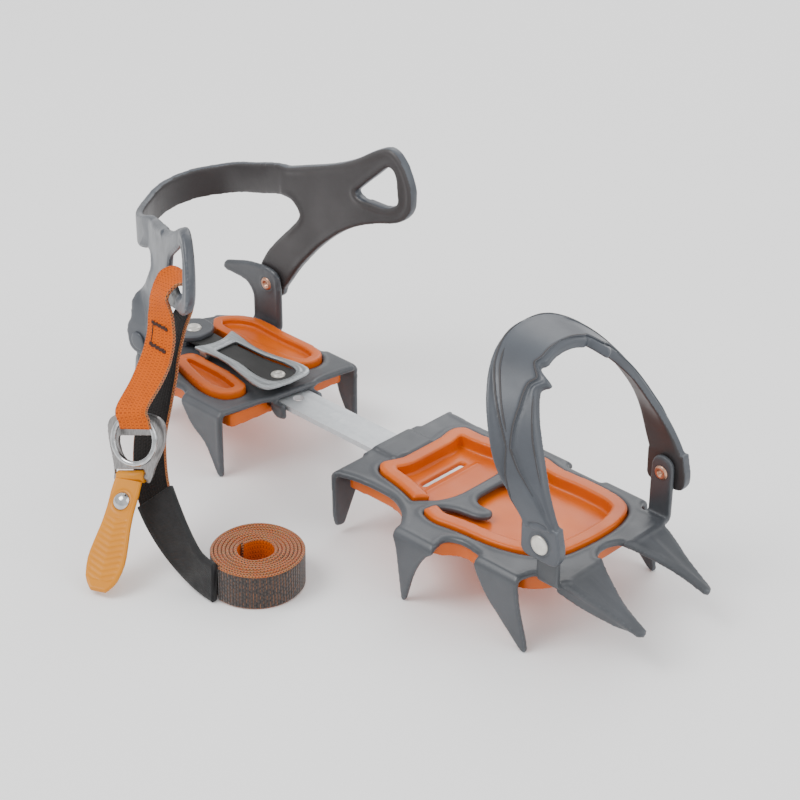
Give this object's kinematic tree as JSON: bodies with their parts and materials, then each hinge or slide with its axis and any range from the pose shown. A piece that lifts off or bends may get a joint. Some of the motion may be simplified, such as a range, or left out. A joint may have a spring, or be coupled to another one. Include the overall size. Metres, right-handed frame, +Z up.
{
  "type": "crampon",
  "caption": "Boot crampon with pressed steel toe and heel sections on a linking bar, flexible plastic bails, snow plates, a lock lever and a strap with buckle.",
  "frame": {"origin": "centre of the plan box of everything but the strap and what hangs on it, on the floor that the points stand on", "axes": "+X from heel to toe, +Z up, +Y from the strap side to the other side"},
  "size_m": [0.3818, 0.22, 0.1691],
  "materials": {
    "frame_steel": "satin blue-grey coating on pressed steel",
    "orange_plate": "glossy translucent orange",
    "grey_plastic": "satin moulded plastic",
    "rivet_metal": "satin",
    "washer_plastic": "satin",
    "bar_steel": "satin galvanised",
    "stainless": "tumbled stainless",
    "spring_steel": "oiled dark",
    "orange_webbing": "woven webbing",
    "black_webbing": "woven webbing",
    "black_sleeve": "smooth woven sleeve",
    "buckle_steel": "polished",
    "yellow_plastic": "satin"
  },
  "bodies": {
    "front_section": {"front_frame": "frame_steel", "front_antiball_plate": "orange_plate", "toe_bail_rivets": "rivet_metal", "toe_bail_washers": "washer_plastic", "link_bar": "bar_steel", "bar_end_stop": "rivet_metal"},
    "toe_bail_body": {"toe_bail": "grey_plastic"},
    "heel_section": {"heel_frame": "frame_steel", "heel_antiball_plate": "orange_plate", "blade_clamp": "frame_steel", "clamp_rivet": "rivet_metal", "lock_blade": "spring_steel", "blade_rivet": "rivet_metal", "heel_bail_rivets": "rivet_metal", "heel_bail_washers": "washer_plastic", "strap_loop": "orange_webbing", "strap_tail": "black_webbing", "strap_sleeve": "black_sleeve", "strap_coil": "orange_webbing", "buckle_plate": "buckle_steel"},
    "heel_bail_body": {"heel_bail": "grey_plastic"},
    "lever_body": {"lock_lever": "stainless"},
    "ring_body": {"buckle_ring": "buckle_steel"},
    "tab_body": {"pull_tab": "yellow_plastic", "snap_rivet": "rivet_metal"}
  },
  "joints": [
    {"name": "toe_bail_pivot", "type": "hinge", "parent": "front_section", "child": "toe_bail_body", "pos_m": [0.14532, 0.02257, 0.063], "axis": [0, 1, 0], "range_deg": [-45, 95]},
    {"name": "heel_slide", "type": "slide", "parent": "front_section", "child": "heel_section", "axis": [1, 0, 0], "range_m": [-0.031, 0.0465]},
    {"name": "heel_bail_pivot", "type": "hinge", "parent": "heel_section", "child": "heel_bail_body", "pos_m": [-0.13718, 0.02257, 0.064], "axis": [0, 1, 0], "range_deg": [-40, 20], "deforming": ["strap_loop", "strap_tail"]},
    {"name": "lock_lever_hinge", "type": "hinge", "parent": "heel_section", "child": "lever_body", "pos_m": [-0.13068, 0.02257, 0.042], "axis": [0, 1, 0], "range_deg": [-14, 0], "deforming": ["lock_blade"]},
    {"name": "buckle_ring_hinge", "type": "hinge", "parent": "heel_section", "child": "ring_body", "pos_m": [-0.05746, -0.09839, 0.07964], "axis": [0.9086, 0.3542, 0.2215], "range_deg": [-50, 0]},
    {"name": "pull_tab_hinge", "type": "hinge", "parent": "heel_section", "child": "tab_body", "pos_m": [-0.05775, -0.10127, 0.0457], "axis": [0.9086, 0.3542, 0.2215], "range_deg": [-60, 0]}
  ]
}
